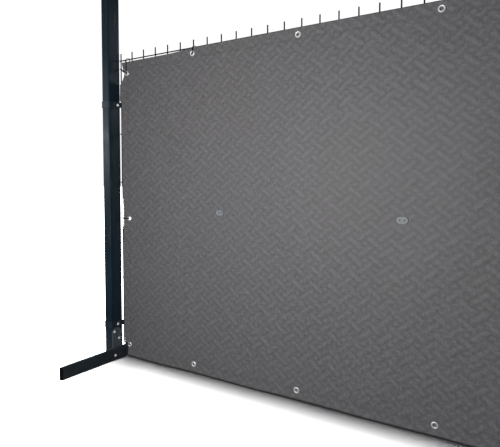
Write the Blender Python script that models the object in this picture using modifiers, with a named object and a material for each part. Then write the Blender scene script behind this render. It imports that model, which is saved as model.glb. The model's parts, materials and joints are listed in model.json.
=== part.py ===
"""Welding curtain screen: a fire-resistant curtain tied to a welded wire panel, which is clamped
between two free-standing posts. The panel, its clamps and the curtain slide up the posts.

Metres, +Z up. X runs along the screen, the curtain's front faces -Y, and the origin is on the floor
midway between the posts.
"""

import math

import bmesh
import bpy
from mathutils import Matrix, Vector

MM = 0.001
GAP = 0.3 * MM  # clearance between pieces that touch

# Wire panel
BAYS = 39
WIRE_PITCH = 64.1 * MM
PANEL_HALF_WIDTH = BAYS * WIRE_PITCH / 2
WIRE_RADIUS = 2.5 * MM
WIRE_SIDE_STEPS = 2
WELD_SINK = 0.5 * MM
VERTICAL_WIRE_Y = 36.6 * MM
HORIZONTAL_WIRE_Y = VERTICAL_WIRE_Y + 2 * WIRE_RADIUS - WELD_SINK
TOP_WIRE_Z = 1225 * MM
NEXT_WIRE_DROP = 100 * MM
WIRE_ROW_PITCH = 200 * MM
WIRE_ROWS = 6
LOWEST_WIRE_Z = 75 * MM
BARB_TOP_Z = TOP_WIRE_Z + 27 * MM
WIRE_BOTTOM_Z = 50 * MM
WIRE_END_OVERHANG = 12 * MM

# Posts
POST_INNER_X = 1251 * MM
POST_WIDTH = 40 * MM
POST_DEPTH = 60 * MM
POST_WALL = 2.5 * MM
POST_CORNER = 4 * MM
POST_HEIGHT = 1800 * MM
POST_CAP_LIP = 3 * MM
POST_BACK_Y = POST_DEPTH / 2

# Feet
FOOT_INNER_X = 1220.9 * MM
FOOT_WIDTH = 20 * MM
FOOT_HEIGHT = 45 * MM
FOOT_LENGTH = 578 * MM
FOOT_WALL = 2 * MM
FOOT_CORNER = 2.5 * MM
FOOT_CAP_LIP = 2.3 * MM
CAP_PLUG_DEPTH = 12 * MM

# Base brackets, between each post and its foot
BRACKET_THICKNESS = 5 * MM
BRACKET_FRONT_Y = -28 * MM
BRACKET_BACK_Y = 17 * MM
BRACKET_TOP_Z = 123.5 * MM
BRACKET_TOP_RADIUS = 18 * MM
BRACKET_FOOT_HALF_LENGTH = 60 * MM
BRACKET_FOOT_TOP_Z = 43 * MM
BRACKET_CHAMFER = 12 * MM
BRACKET_FLOOR_GAP = 3 * MM
PAD_INSET = 2 * MM
PAD_CORNER = 8 * MM
BRACKET_BOLTS_YZ = ((-20 * MM, 109 * MM), (4 * MM, 78 * MM))
BRACKET_SPARE_HOLE_YZ = (-3 * MM, 90 * MM)
FOOT_BOLT_Y = 38 * MM
FOOT_BOLT_Z = 21 * MM

# Panel clamps
CLAMP_HEIGHTS = {"upper": 1040 * MM, "lower": 137.5 * MM}
CLAMP_BOLT_Y = {"upper": 12 * MM, "lower": 0.0}
STRAP_HEIGHT = 26 * MM
STRAP_THICKNESS = 2 * MM
STRAP_BEND = 3 * MM
STRAP_INNER_END_Y = 21 * MM
STRAP_BACK_END_X = POST_INNER_X + 6 * MM
JAW_HEIGHT = 21 * MM
JAW_RAISE = 1.5 * MM
JAW_BEND = 1.5 * MM
JAW_FRONT_Y = -7 * MM
JAW_STEP_START_Y = 24 * MM
JAW_STEP_END_Y = 31 * MM
JAW_WIRE_GAP = 1 * MM
JAW_HOOK_END_X = PANEL_HALF_WIDTH + 9 * MM
SPARE_HOLE_OFFSET = -11 * MM
SPARE_HOLE_RADIUS = 2.6 * MM

# Bolts
BOLT_RADIUS = 3 * MM
BOLT_HOLE_RADIUS = 3.4 * MM
BOLT_HEAD_RADIUS = 5.5 * MM
BOLT_HEAD_HEIGHT = 3.6 * MM
BRACKET_BOLT_LENGTH = 12 * MM
FOOT_BOLT_LENGTH = 29 * MM
ROUND_STEPS = 12

# Curtain
CURTAIN_Y = 30 * MM
CURTAIN_THICKNESS = 3 * MM
CURTAIN_HALF_WIDTH = 1237 * MM
CURTAIN_BOTTOM_Z = 2 * MM
CURTAIN_TOP_Z = 1222 * MM
CURTAIN_NOTCH_HALF_WIDTH = 1218.5 * MM
CURTAIN_NOTCH_Z = 48 * MM

# Eyelets pressed into the curtain's edges
EYELET_HOLE_RADIUS = 6.2 * MM
EYELET_BARREL_RADIUS = 7.5 * MM
EYELET_FRONT_RADIUS = 12 * MM
EYELET_BACK_RADIUS = 10.5 * MM
EYELET_ROW_X = (-865 * MM, -426 * MM, 16.6 * MM, 457 * MM, 898 * MM)
TOP_ROW_Z = 1200.5 * MM
BOTTOM_ROW_Z = 35.2 * MM
TOP_CORNER_XZ = (1209.9 * MM, 1167.5 * MM)
MIDDLE_XZ = (1202.4 * MM, 576 * MM)
BOTTOM_CORNER_XZ = (1208.5 * MM, 50 * MM)

# Oval plates on the curtain's front
PLATE_X = (-739 * MM, -83 * MM, 573 * MM)
PLATE_Z = 615 * MM
PLATE_LENGTH = 34 * MM
PLATE_HEIGHT = 21 * MM
PLATE_THICKNESS = 2 * MM
PLATE_HOLE_SPACING = 14 * MM
PLATE_HOLE_RADIUS = 2 * MM

# Cable ties
TIE_WIDTH = 3.2 * MM
TIE_THICKNESS = 1.2 * MM
TIE_HEAD = (5.2 * MM, 3.6 * MM, 4.6 * MM)
TIE_FRONT_Y = 25.2 * MM
TIE_HEAD_FROM_EYELET = 14 * MM
TIE_HEAD_BELOW_TOP = 6 * MM
TIE_RISE_TO_WIRE = {"top": 22 * MM, "middle": 0.0, "bottom": 12 * MM}

# A piece whose name holds one of these words slides with the panel.
SLIDING_WORDS = ("clamp", "wire_panel", "curtain", "eyelet", "tie", "oval_plate")

NAVY = (0.045, 0.062, 0.078)
BLACK = (0.012, 0.013, 0.015)
STEEL = (0.62, 0.63, 0.64)
DARK_WIRE = (0.030, 0.034, 0.038)
CHARCOAL = (0.125, 0.124, 0.127)
PALE_GREY = (0.40, 0.41, 0.42)


def start_scene():
    """Empties the scene and returns the collections of the parts and of their cutters."""
    for found in list(bpy.data.objects):
        bpy.data.objects.remove(found)
    parts = bpy.data.collections.new("welding_curtain_screen")
    cutters = bpy.data.collections.new("cutters")
    bpy.context.scene.collection.children.link(parts)
    bpy.context.scene.collection.children.link(cutters)
    cutters.hide_render = True
    return parts, cutters


PARTS, CUTTERS = start_scene()


def painted(name, colour, roughness, metallic=0.0):
    material = bpy.data.materials.new(name)
    material.use_nodes = True
    shader = material.node_tree.nodes["Principled BSDF"]
    shader.inputs["Base Color"].default_value = (*colour, 1.0)
    shader.inputs["Roughness"].default_value = roughness
    shader.inputs["Metallic"].default_value = metallic
    return material


def add_object(name, data, place=None, material=None, helper=False):
    """Links an object made from a mesh or a curve: a part, or a hidden helper that cuts or joins."""
    made = bpy.data.objects.new(name, data)
    made.matrix_world = place or Matrix.Identity(4)
    if helper:
        made.hide_render = True
        made.display_type = "WIRE"
        CUTTERS.objects.link(made)
    else:
        data.materials.append(painted(name + "_finish", *material))
        PARTS.objects.link(made)
    return made


def mesh_from_curve(name, curve):
    """The curve's evaluated mesh, with its caps welded to its sides."""
    holder = bpy.data.objects.new(name + "_curve", curve)
    bpy.context.scene.collection.objects.link(holder)
    bpy.context.view_layer.update()
    graph = bpy.context.evaluated_depsgraph_get()
    mesh = bpy.data.meshes.new_from_object(holder.evaluated_get(graph))
    bpy.data.objects.remove(holder)
    welded = bmesh.new()
    welded.from_mesh(mesh)
    bmesh.ops.remove_doubles(welded, verts=welded.verts, dist=0.01 * MM)
    bmesh.ops.recalc_face_normals(welded, faces=welded.faces)
    welded.to_mesh(mesh)
    welded.free()
    mesh.name = name
    return mesh


def plate_mesh(name, outlines, thickness, edge_round=0.0):
    """A flat plate centred on its own XY plane. Outlines after the first are holes."""
    curve = bpy.data.curves.new(name, "CURVE")
    curve.dimensions = "2D"
    curve.fill_mode = "BOTH"
    curve.extrude = thickness / 2 - edge_round
    curve.bevel_depth = edge_round
    curve.bevel_resolution = 1
    curve.offset = -edge_round
    for outline in outlines:
        spline = curve.splines.new("POLY")
        spline.points.add(len(outline) - 1)
        for point, (x, y) in zip(spline.points, outline):
            point.co = (x, y, 0, 1)
        spline.use_cyclic_u = True
    return mesh_from_curve(name, curve)


def rounded_rectangle(width, height, radius, steps=3, centre=(0.0, 0.0)):
    points = []
    corners = ((1, 1), (-1, 1), (-1, -1), (1, -1))
    for quarter, (side_x, side_y) in enumerate(corners):
        corner_x = centre[0] + side_x * (width / 2 - radius)
        corner_y = centre[1] + side_y * (height / 2 - radius)
        for step in range(steps + 1):
            angle = math.pi / 2 * (quarter + step / steps)
            points.append((corner_x + radius * math.cos(angle), corner_y + radius * math.sin(angle)))
    return points


def circle(radius, centre, steps=ROUND_STEPS):
    turn = 2 * math.pi / steps
    return [
        (centre[0] + radius * math.cos(turn * i), centre[1] + radius * math.sin(turn * i))
        for i in range(steps)
    ]


def facing_x(x, side=1):
    """Puts a plate's own X along world Y, its Y along world Z and its thickness along world X."""
    turn = Matrix(((0, 0, side, 0), (1, 0, 0, 0), (0, 1, 0, 0), (0, 0, 0, 1)))
    return Matrix.Translation((side * x, 0, 0)) @ turn


def facing_y(y):
    """Puts a plate's own X along world X, its Y along world Z and its thickness along world Y."""
    turn = Matrix(((1, 0, 0, 0), (0, 0, -1, 0), (0, 1, 0, 0), (0, 0, 0, 1)))
    return Matrix.Translation((0, y, 0)) @ turn


def boolean(target, operation, other):
    modifier = target.modifiers.new(operation.lower(), "BOOLEAN")
    modifier.operation = operation
    modifier.solver = "EXACT"
    modifier.object = other


def pin_cutter(name, start, end, radius):
    """A cylinder from start to end that drills a hole."""
    start, end = Vector(start), Vector(end)
    drill = bmesh.new()
    bmesh.ops.create_cone(
        drill,
        cap_ends=True,
        segments=ROUND_STEPS,
        radius1=radius,
        radius2=radius,
        depth=(end - start).length,
    )
    mesh = bpy.data.meshes.new(name)
    drill.to_mesh(mesh)
    drill.free()
    turn = (end - start).to_track_quat("Z", "Y").to_matrix().to_4x4()
    return add_object(name, mesh, Matrix.Translation((start + end) / 2) @ turn, helper=True)


def turned(name, profile, place, material):
    """A profile of (radius, height) points turned about its own Z axis."""
    mesh = bpy.data.meshes.new(name)
    closed = profile[0][0] > 0
    edges = [(i, i + 1) for i in range(len(profile) - 1)]
    if closed:
        edges.append((len(profile) - 1, 0))
    mesh.from_pydata([(radius, 0, height) for radius, height in profile], edges, [])
    made = add_object(name, mesh, place, material)
    screw = made.modifiers.new("turn", "SCREW")
    screw.steps = ROUND_STEPS
    screw.render_steps = ROUND_STEPS
    screw.use_merge_vertices = True
    screw.merge_threshold = 0.01 * MM
    return made


def bent_strip(name, path, thickness, height, centre_z, material):
    """A strip of sheet that follows a path in the XY plane, with its full height along Z."""
    low, high = centre_z - height / 2, centre_z + height / 2
    strip = bmesh.new()
    lower = [strip.verts.new((x, y, low)) for x, y in path]
    upper = [strip.verts.new((x, y, high)) for x, y in path]
    for i in range(len(path) - 1):
        strip.faces.new((lower[i], lower[i + 1], upper[i + 1], upper[i]))
    mesh = bpy.data.meshes.new(name)
    strip.to_mesh(mesh)
    strip.free()
    made = add_object(name, mesh, material=material)
    solidify = made.modifiers.new("sheet", "SOLIDIFY")
    solidify.thickness = thickness
    solidify.offset = 0
    solidify.use_even_offset = True
    return made


def post(side_name, side):
    x = side * (POST_INNER_X + POST_WIDTH / 2)
    outer = rounded_rectangle(POST_WIDTH, POST_DEPTH, POST_CORNER)
    inner_width = POST_WIDTH - 2 * POST_WALL
    inner_depth = POST_DEPTH - 2 * POST_WALL
    inner = rounded_rectangle(inner_width, inner_depth, POST_CORNER - POST_WALL, 1)
    height = POST_HEIGHT - POST_CAP_LIP - GAP
    mesh = plate_mesh(side_name + "_post", (outer, inner), height)
    tube = add_object(
        side_name + "_post", mesh, Matrix.Translation((x, 0, height / 2)), (NAVY, 0.42, 0.2)
    )
    for number, (y, z) in enumerate(BRACKET_BOLTS_YZ, 1):
        start = (side * (POST_INNER_X - 5 * MM), y, z)
        end = (side * (POST_INNER_X + 8 * MM), y, z)
        name = f"{side_name}_post_hole_{number}"
        boolean(tube, "DIFFERENCE", pin_cutter(name, start, end, BOLT_HOLE_RADIUS))


def post_cap(side_name, side):
    x = side * (POST_INNER_X + POST_WIDTH / 2)
    lip_outline = rounded_rectangle(POST_WIDTH, POST_DEPTH, POST_CORNER)
    lip = plate_mesh(side_name + "_post_cap", (lip_outline,), POST_CAP_LIP, 0.8 * MM)
    lip_centre = Matrix.Translation((x, 0, POST_HEIGHT - POST_CAP_LIP / 2))
    cap = add_object(side_name + "_post_cap", lip, lip_centre, (BLACK, 0.5))
    clear = 2 * (POST_WALL + GAP)
    plug_outline = rounded_rectangle(POST_WIDTH - clear, POST_DEPTH - clear, 1.2 * MM, 1)
    plug = plate_mesh(side_name + "_post_cap_plug", (plug_outline,), CAP_PLUG_DEPTH)
    plug_top = POST_HEIGHT - POST_CAP_LIP / 2
    plug_centre = Matrix.Translation((x, 0, plug_top - CAP_PLUG_DEPTH / 2))
    boolean(cap, "UNION", add_object(side_name + "_post_cap_plug", plug, plug_centre, helper=True))


def foot(side_name, side):
    x = side * (FOOT_INNER_X + FOOT_WIDTH / 2)
    outer = rounded_rectangle(FOOT_WIDTH, FOOT_HEIGHT, FOOT_CORNER, 2)
    inner = rounded_rectangle(FOOT_WIDTH - 2 * FOOT_WALL, FOOT_HEIGHT - 2 * FOOT_WALL, 1 * MM, 1)
    length = FOOT_LENGTH - 2 * (FOOT_CAP_LIP + GAP)
    mesh = plate_mesh(side_name + "_foot", (outer, inner), length)
    place = Matrix.Translation((x, 0, FOOT_HEIGHT / 2)) @ facing_y(0)
    tube = add_object(side_name + "_foot", mesh, place, (NAVY, 0.42, 0.2))
    for end_name, end in (("front", -1), ("rear", 1)):
        start = (side * (FOOT_INNER_X - 5 * MM), end * FOOT_BOLT_Y, FOOT_BOLT_Z)
        stop = (side * (FOOT_INNER_X + FOOT_WIDTH + 5 * MM), end * FOOT_BOLT_Y, FOOT_BOLT_Z)
        name = f"{side_name}_foot_{end_name}_hole"
        boolean(tube, "DIFFERENCE", pin_cutter(name, start, stop, BOLT_HOLE_RADIUS))


def foot_cap(side_name, side, end_name, end):
    name = f"{side_name}_foot_{end_name}_cap"
    x = side * (FOOT_INNER_X + FOOT_WIDTH / 2)
    lip_outline = rounded_rectangle(FOOT_WIDTH, FOOT_HEIGHT, FOOT_CORNER, 2)
    lip = plate_mesh(name, (lip_outline,), FOOT_CAP_LIP, 0.6 * MM)
    lip_y = end * (FOOT_LENGTH / 2 - FOOT_CAP_LIP / 2)
    lip_place = Matrix.Translation((x, lip_y, FOOT_HEIGHT / 2)) @ facing_y(0)
    cap = add_object(name, lip, lip_place, (BLACK, 0.5))
    clear = 2 * (FOOT_WALL + GAP)
    plug_outline = rounded_rectangle(FOOT_WIDTH - clear, FOOT_HEIGHT - clear, 0.7 * MM, 1)
    plug = plate_mesh(name + "_plug", (plug_outline,), CAP_PLUG_DEPTH)
    plug_y = lip_y - end * CAP_PLUG_DEPTH / 2
    plug_place = Matrix.Translation((x, plug_y, FOOT_HEIGHT / 2)) @ facing_y(0)
    boolean(cap, "UNION", add_object(name + "_plug", plug, plug_place, helper=True))


def bracket(side_name, side):
    """A tongue bolted to the post's inner face, on a wider pad that the foot is bolted against."""
    name = side_name + "_base_bracket"
    middle_y = (BRACKET_FRONT_Y + BRACKET_BACK_Y) / 2
    half = (BRACKET_BACK_Y - BRACKET_FRONT_Y) / 2
    outline = [
        (BRACKET_FOOT_HALF_LENGTH, BRACKET_FLOOR_GAP),
        (BRACKET_FOOT_HALF_LENGTH, BRACKET_FOOT_TOP_Z - BRACKET_CHAMFER),
        (BRACKET_FOOT_HALF_LENGTH - BRACKET_CHAMFER, BRACKET_FOOT_TOP_Z),
        (BRACKET_BACK_Y, BRACKET_FOOT_TOP_Z),
    ]
    for end, first in ((1, 0), (-1, 90)):
        centre_y = middle_y + end * (half - BRACKET_TOP_RADIUS)
        centre_z = BRACKET_TOP_Z - BRACKET_TOP_RADIUS
        for step in range(5):
            angle = math.radians(first + 90 * step / 4)
            rise = BRACKET_TOP_RADIUS * math.sin(angle)
            outline.append((centre_y + BRACKET_TOP_RADIUS * math.cos(angle), centre_z + rise))
    outline += [
        (BRACKET_FRONT_Y, BRACKET_FOOT_TOP_Z),
        (-BRACKET_FOOT_HALF_LENGTH + BRACKET_CHAMFER, BRACKET_FOOT_TOP_Z),
        (-BRACKET_FOOT_HALF_LENGTH, BRACKET_FOOT_TOP_Z - BRACKET_CHAMFER),
        (-BRACKET_FOOT_HALF_LENGTH, BRACKET_FLOOR_GAP),
    ]
    holes = [circle(BOLT_HOLE_RADIUS, yz) for yz in (*BRACKET_BOLTS_YZ, BRACKET_SPARE_HOLE_YZ)]
    tongue_x = POST_INNER_X - GAP - BRACKET_THICKNESS / 2
    tongue = plate_mesh(name, (outline, *holes), BRACKET_THICKNESS)
    made = add_object(name, tongue, facing_x(tongue_x, side), (NAVY, 0.45, 0.2))

    pad_inner = FOOT_INNER_X + FOOT_WIDTH + GAP
    pad_outer = tongue_x
    pad_height = BRACKET_FOOT_TOP_Z - BRACKET_FLOOR_GAP - PAD_INSET
    pad_centre = (0.0, BRACKET_FLOOR_GAP + PAD_INSET / 2 + pad_height / 2)
    pad_length = 2 * (BRACKET_FOOT_HALF_LENGTH - PAD_INSET)
    pad_outline = rounded_rectangle(pad_length, pad_height, PAD_CORNER, 2, pad_centre)
    pad = plate_mesh(name + "_pad", (pad_outline,), pad_outer - pad_inner)
    pad_place = facing_x((pad_inner + pad_outer) / 2, side)
    boolean(made, "UNION", add_object(name + "_pad", pad, pad_place, helper=True))
    for end_name, end in (("front", -1), ("rear", 1)):
        start = (side * (pad_inner - 5 * MM), end * FOOT_BOLT_Y, FOOT_BOLT_Z)
        stop = (side * (POST_INNER_X + 2 * MM), end * FOOT_BOLT_Y, FOOT_BOLT_Z)
        drill = pin_cutter(f"{name}_{end_name}_hole", start, stop, BOLT_HOLE_RADIUS)
        boolean(made, "DIFFERENCE", drill)


def bolt(name, side, seat_x, y, z, length):
    """A domed bolt whose head sits on the face at seat_x and whose shank runs out towards the post."""
    profile = [
        (0.0, BOLT_HEAD_HEIGHT),
        (0.55 * BOLT_HEAD_RADIUS, 0.88 * BOLT_HEAD_HEIGHT),
        (0.9 * BOLT_HEAD_RADIUS, 0.5 * BOLT_HEAD_HEIGHT),
        (BOLT_HEAD_RADIUS, 0.0),
        (BOLT_RADIUS, 0.0),
        (BOLT_RADIUS, -length),
        (0.0, -length),
    ]
    turn = Vector((-side, 0, 0)).to_track_quat("Z", "Y").to_matrix().to_4x4()
    place = Matrix.Translation((side * (seat_x - GAP), y, z)) @ turn
    turned(name, profile, place, (STEEL, 0.25, 1.0))


def clamp(side_name, side, level, centre_z):
    strap_inner_x = POST_INNER_X - GAP - STRAP_THICKNESS / 2
    strap_outer_x = POST_INNER_X + POST_WIDTH + GAP + STRAP_THICKNESS / 2
    strap_y = POST_BACK_Y + GAP + STRAP_THICKNESS / 2
    strap_path = [
        (strap_inner_x, STRAP_INNER_END_Y),
        (strap_inner_x, -strap_y + STRAP_BEND),
        (strap_inner_x + STRAP_BEND, -strap_y),
        (strap_outer_x - STRAP_BEND, -strap_y),
        (strap_outer_x, -strap_y + STRAP_BEND),
        (strap_outer_x, strap_y - STRAP_BEND),
        (strap_outer_x - STRAP_BEND, strap_y),
        (STRAP_BACK_END_X, strap_y),
    ]
    strap_path = [(side * x, y) for x, y in strap_path]
    steel = (NAVY, 0.4, 0.3)
    strap_name = f"{side_name}_{level}_clamp_strap"
    strap = bent_strip(strap_name, strap_path, STRAP_THICKNESS, STRAP_HEIGHT, centre_z, steel)

    jaw_x = strap_inner_x - STRAP_THICKNESS - GAP
    hook_x = PANEL_HALF_WIDTH - WIRE_RADIUS - JAW_WIRE_GAP - STRAP_THICKNESS / 2
    hook_y = VERTICAL_WIRE_Y + WIRE_RADIUS + 2 * JAW_WIRE_GAP + STRAP_THICKNESS / 2
    jaw_path = [
        (jaw_x, JAW_FRONT_Y),
        (jaw_x, JAW_STEP_START_Y),
        (hook_x, JAW_STEP_END_Y),
        (hook_x, hook_y - JAW_BEND),
        (hook_x + JAW_BEND, hook_y),
        (JAW_HOOK_END_X, hook_y),
    ]
    jaw_path = [(side * x, y) for x, y in jaw_path]
    jaw_name = f"{side_name}_{level}_clamp_jaw"
    jaw_z = centre_z + JAW_RAISE
    jaw = bent_strip(jaw_name, jaw_path, STRAP_THICKNESS, JAW_HEIGHT, jaw_z, steel)

    bolt_y = CLAMP_BOLT_Y[level]
    for piece in (strap, jaw):
        start = (side * (POST_INNER_X - 9 * MM), bolt_y, centre_z)
        stop = (side * (POST_INNER_X + 1 * MM), bolt_y, centre_z)
        drill = pin_cutter(piece.name + "_bolt_hole", start, stop, BOLT_HOLE_RADIUS)
        boolean(piece, "DIFFERENCE", drill)
    if level == "upper":
        spare_y = bolt_y + SPARE_HOLE_OFFSET
        start = (side * (jaw_x - 5 * MM), spare_y, centre_z)
        stop = (side * (jaw_x + 1.2 * MM), spare_y, centre_z)
        drill = pin_cutter(jaw_name + "_spare_hole", start, stop, SPARE_HOLE_RADIUS)
        boolean(jaw, "DIFFERENCE", drill)
    seat_x = jaw_x - STRAP_THICKNESS / 2
    length = POST_INNER_X - seat_x
    bolt(f"{side_name}_{level}_clamp_bolt", side, seat_x, bolt_y, centre_z, length)


def straight_wires(name, ends):
    """One mesh of straight round wires, each from its start to its end."""
    curve = bpy.data.curves.new(name, "CURVE")
    curve.dimensions = "3D"
    curve.bevel_depth = WIRE_RADIUS
    curve.bevel_resolution = WIRE_SIDE_STEPS
    curve.use_fill_caps = True
    for start, end in ends:
        spline = curve.splines.new("POLY")
        spline.points.add(1)
        spline.points[0].co = (*start, 1)
        spline.points[1].co = (*end, 1)
    return mesh_from_curve(name, curve)


def wire_heights():
    rows = [TOP_WIRE_Z]
    rows += [TOP_WIRE_Z - NEXT_WIRE_DROP - WIRE_ROW_PITCH * i for i in range(WIRE_ROWS)]
    return rows + [LOWEST_WIRE_Z]


def wire_panel():
    """Upright wires welded to the fronts of level ones, as one piece."""
    uprights = []
    for i in range(BAYS + 1):
        x = -PANEL_HALF_WIDTH + i * WIRE_PITCH
        uprights.append(((x, VERTICAL_WIRE_Y, WIRE_BOTTOM_Z), (x, VERTICAL_WIRE_Y, BARB_TOP_Z)))
    reach = PANEL_HALF_WIDTH + WIRE_END_OVERHANG
    levels = [((-reach, HORIZONTAL_WIRE_Y, z), (reach, HORIZONTAL_WIRE_Y, z)) for z in wire_heights()]
    upright_mesh = straight_wires("wire_panel", uprights)
    panel = add_object("wire_panel", upright_mesh, material=(DARK_WIRE, 0.45, 0.4))
    level_mesh = straight_wires("level_wires", levels)
    boolean(panel, "UNION", add_object("level_wires", level_mesh, helper=True))


def eyelet_places():
    """Each eyelet's name and its (x, z)."""
    places = {}
    for number, x in enumerate(EYELET_ROW_X, 1):
        places[f"top_eyelet_{number}"] = (x, TOP_ROW_Z)
        places[f"bottom_eyelet_{number}"] = (x, BOTTOM_ROW_Z)
    edges = {"top_corner": TOP_CORNER_XZ, "middle": MIDDLE_XZ, "bottom_corner": BOTTOM_CORNER_XZ}
    for side_name, side in (("left", -1), ("right", 1)):
        for edge_name, (x, z) in edges.items():
            places[f"{side_name}_{edge_name}_eyelet"] = (side * x, z)
    return places


def curtain():
    """A plain slab, narrower at its foot where it hangs between the feet, with the eyelets' holes."""
    outline = [
        (-CURTAIN_NOTCH_HALF_WIDTH, CURTAIN_BOTTOM_Z),
        (CURTAIN_NOTCH_HALF_WIDTH, CURTAIN_BOTTOM_Z),
        (CURTAIN_NOTCH_HALF_WIDTH, CURTAIN_NOTCH_Z),
        (CURTAIN_HALF_WIDTH, CURTAIN_NOTCH_Z),
        (CURTAIN_HALF_WIDTH, CURTAIN_TOP_Z),
        (-CURTAIN_HALF_WIDTH, CURTAIN_TOP_Z),
        (-CURTAIN_HALF_WIDTH, CURTAIN_NOTCH_Z),
        (-CURTAIN_NOTCH_HALF_WIDTH, CURTAIN_NOTCH_Z),
    ]
    holes = [circle(EYELET_BARREL_RADIUS + GAP, xz) for xz in eyelet_places().values()]
    mesh = plate_mesh("curtain", (outline, *holes), CURTAIN_THICKNESS)
    add_object("curtain", mesh, facing_y(CURTAIN_Y), (CHARCOAL, 0.8))


def eyelet(name, x, z):
    """A pressed metal ring that grips the curtain between a front and a back flange."""
    grip = CURTAIN_THICKNESS / 2 + GAP
    profile = [
        (EYELET_HOLE_RADIUS, grip + 0.8 * MM),
        (EYELET_HOLE_RADIUS + 1.6 * MM, grip + 1.5 * MM),
        (EYELET_FRONT_RADIUS, grip + 0.7 * MM),
        (EYELET_FRONT_RADIUS, grip),
        (EYELET_BARREL_RADIUS, grip),
        (EYELET_BARREL_RADIUS, -grip),
        (EYELET_BACK_RADIUS, -grip),
        (EYELET_BACK_RADIUS, -grip - 0.9 * MM),
        (EYELET_HOLE_RADIUS, -grip - 0.9 * MM),
    ]
    turn = Vector((0, -1, 0)).to_track_quat("Z", "Y").to_matrix().to_4x4()
    turned(name, profile, Matrix.Translation((x, CURTAIN_Y, z)) @ turn, (STEEL, 0.25, 1.0))


def oval_plate(name, x):
    outline = rounded_rectangle(
        PLATE_LENGTH, PLATE_HEIGHT, PLATE_HEIGHT / 2 - 0.01 * MM, 5, (x, PLATE_Z)
    )
    holes = [
        circle(PLATE_HOLE_RADIUS, (x + end * PLATE_HOLE_SPACING / 2, PLATE_Z), 8) for end in (-1, 1)
    ]
    y = CURTAIN_Y - CURTAIN_THICKNESS / 2 - GAP - PLATE_THICKNESS / 2
    mesh = plate_mesh(name, (outline, *holes), PLATE_THICKNESS)
    add_object(name, mesh, facing_y(y), (PALE_GREY, 0.55))


def tie_band(name, origin, along, route, head_at, helper=False):
    """A closed strap through an eyelet and round a wire. The route is (distance along, y) points in
    the plane of the direction 'along' and world Y, and the head is a block on its front run."""
    along = Vector(along).normalized()
    depth = Vector((0, 1, 0))
    across = along.cross(depth)
    frame = Matrix((along, depth, across)).transposed().to_4x4()
    frame.translation = Vector(origin)
    ring = bmesh.new()
    sides = []
    for half in (-TIE_WIDTH / 2, TIE_WIDTH / 2):
        sides.append([ring.verts.new((distance, y, half)) for distance, y in route])
    for i in range(len(route)):
        after = (i + 1) % len(route)
        ring.faces.new((sides[0][i], sides[0][after], sides[1][after], sides[1][i]))
    bmesh.ops.recalc_face_normals(ring, faces=ring.faces)
    mesh = bpy.data.meshes.new(name)
    ring.to_mesh(mesh)
    ring.free()
    band = add_object(name, mesh, frame, (BLACK, 0.4), helper)
    solidify = band.modifiers.new("strap", "SOLIDIFY")
    solidify.thickness = TIE_THICKNESS
    solidify.offset = 0
    solidify.use_even_offset = True

    block = bmesh.new()
    bmesh.ops.create_cube(block, size=1)
    bmesh.ops.scale(block, verts=block.verts, vec=TIE_HEAD)
    head_mesh = bpy.data.meshes.new(name + "_head")
    block.to_mesh(head_mesh)
    block.free()
    head_y = TIE_FRONT_Y - TIE_HEAD[1] / 2 + TIE_THICKNESS / 2
    head_place = frame @ Matrix.Translation((head_at, head_y, 0))
    boolean(band, "UNION", add_object(name + "_head", head_mesh, head_place, helper=True))
    return band


def side_tie(name, side, eyelet_xz, rise, helper=False):
    """From an edge eyelet round the curtain's edge and the panel's end wire, behind the post."""
    x, z = eyelet_xz
    reach = math.hypot(PANEL_HALF_WIDTH - x, rise)
    stretch = reach / (PANEL_HALF_WIDTH - x)
    edge = (CURTAIN_HALF_WIDTH - x) * stretch
    wire_front = POST_BACK_Y + 1.9 * MM
    wire_back = VERTICAL_WIRE_Y + WIRE_RADIUS + GAP + TIE_THICKNESS
    wire_half = (WIRE_RADIUS + GAP + TIE_THICKNESS) * stretch
    route = [
        (1.5 * MM, TIE_FRONT_Y),
        (edge + 2 * MM, TIE_FRONT_Y),
        (reach - 3.4 * MM, wire_front - 0.4 * MM),
        (reach + wire_half - 2 * MM, wire_front),
        (reach + wire_half, VERTICAL_WIRE_Y - 1 * MM),
        (reach + wire_half, VERTICAL_WIRE_Y + 1 * MM),
        (reach + wire_half - 2 * MM, wire_back),
        (reach - wire_half, wire_back),
        (4 * MM, VERTICAL_WIRE_Y + 1 * MM),
        (0.5 * MM, CURTAIN_Y + 4 * MM),
        (0.0, CURTAIN_Y),
        (0.0, CURTAIN_Y - 3 * MM),
    ]
    along = (side * (PANEL_HALF_WIDTH - x), 0, rise)
    return tie_band(name, (side * x, 0, z), along, route, TIE_HEAD_FROM_EYELET, helper)


def top_tie(name, x, z, set_back=0.0, helper=False):
    """From a top eyelet over the curtain's top edge and the panel's top wire."""
    wire = TOP_WIRE_Z - z
    wire_half = WIRE_RADIUS + GAP + TIE_THICKNESS
    over_y = HORIZONTAL_WIRE_Y + wire_half
    route = [
        (1.5 * MM, TIE_FRONT_Y),
        (CURTAIN_TOP_Z - z + 1 * MM, TIE_FRONT_Y),
        (wire + wire_half, CURTAIN_Y + 3 * MM),
        (wire + wire_half, over_y - 2 * MM),
        (wire + wire_half - 2 * MM, over_y),
        (wire - wire_half, over_y),
        (wire - wire_half - 8 * MM, HORIZONTAL_WIRE_Y - 1 * MM),
        (3 * MM, VERTICAL_WIRE_Y + 1 * MM),
        (0.5 * MM, CURTAIN_Y + 4 * MM),
        (0.0, CURTAIN_Y),
        (0.0, CURTAIN_Y - 3 * MM),
    ]
    head_at = CURTAIN_TOP_Z - z - TIE_HEAD_BELOW_TOP
    return tie_band(name, (x, set_back, z), (0, 0, 1), route, head_at, helper)


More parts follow.
